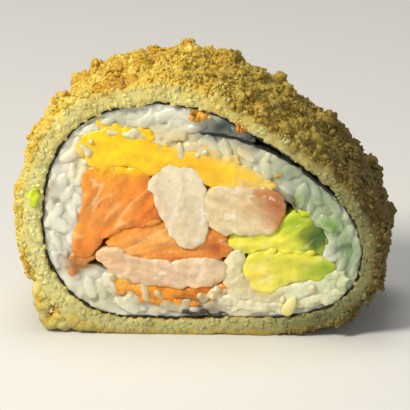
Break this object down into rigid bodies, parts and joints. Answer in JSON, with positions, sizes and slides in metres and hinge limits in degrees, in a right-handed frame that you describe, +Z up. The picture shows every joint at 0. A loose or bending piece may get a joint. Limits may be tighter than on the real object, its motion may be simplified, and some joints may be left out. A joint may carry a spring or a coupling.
{
  "type": "fried sushi roll",
  "caption": "One cut piece of a crumbed, deep-fried sushi roll: crust, nori and rice round cheese, salmon, shrimp, avocado and cream cheese, standing on its crust.",
  "frame": {"origin": "bottom centre of the piece's box, on the surface that it stands on", "axes": "+X across the cut face from left to right, +Y along the roll away from the front cut face, +Z up"},
  "size_m": [0.0534, 0.0246, 0.0392],
  "materials": {
    "crust": "fried batter and crumb, dry and rough, golden with toasted bits",
    "nori": "moist seaweed sheet, nearly black green, low sheen",
    "rice": "cooked rice, white, moist, slightly see-through",
    "cheddar": "soft melting cheese, bright yellow",
    "salmon": "warm orange salmon flesh, moist, with pale fat lines",
    "shrimp": "cooked shrimp, ivory white, moist",
    "fish": "pale pinkish fish slab, moist",
    "roe": "thin layer of orange roe in sauce",
    "avocado": "avocado flesh, yellow to dark green at its skin side",
    "cream": "cream cheese, off-white, soft"
  },
  "bodies": {
    "root": {"crust": "crust", "nori": "nori", "rice": "rice", "cheddar": "cheddar", "salmon_block": "salmon", "salmon_strip": "salmon", "shrimp_middle": "shrimp", "shrimp_right": "shrimp", "fish_slab": "fish", "orange_roe": "roe", "avocado_upper": "avocado", "avocado_lower": "avocado", "cream_cheese": "cream"}
  },
  "joints": []
}
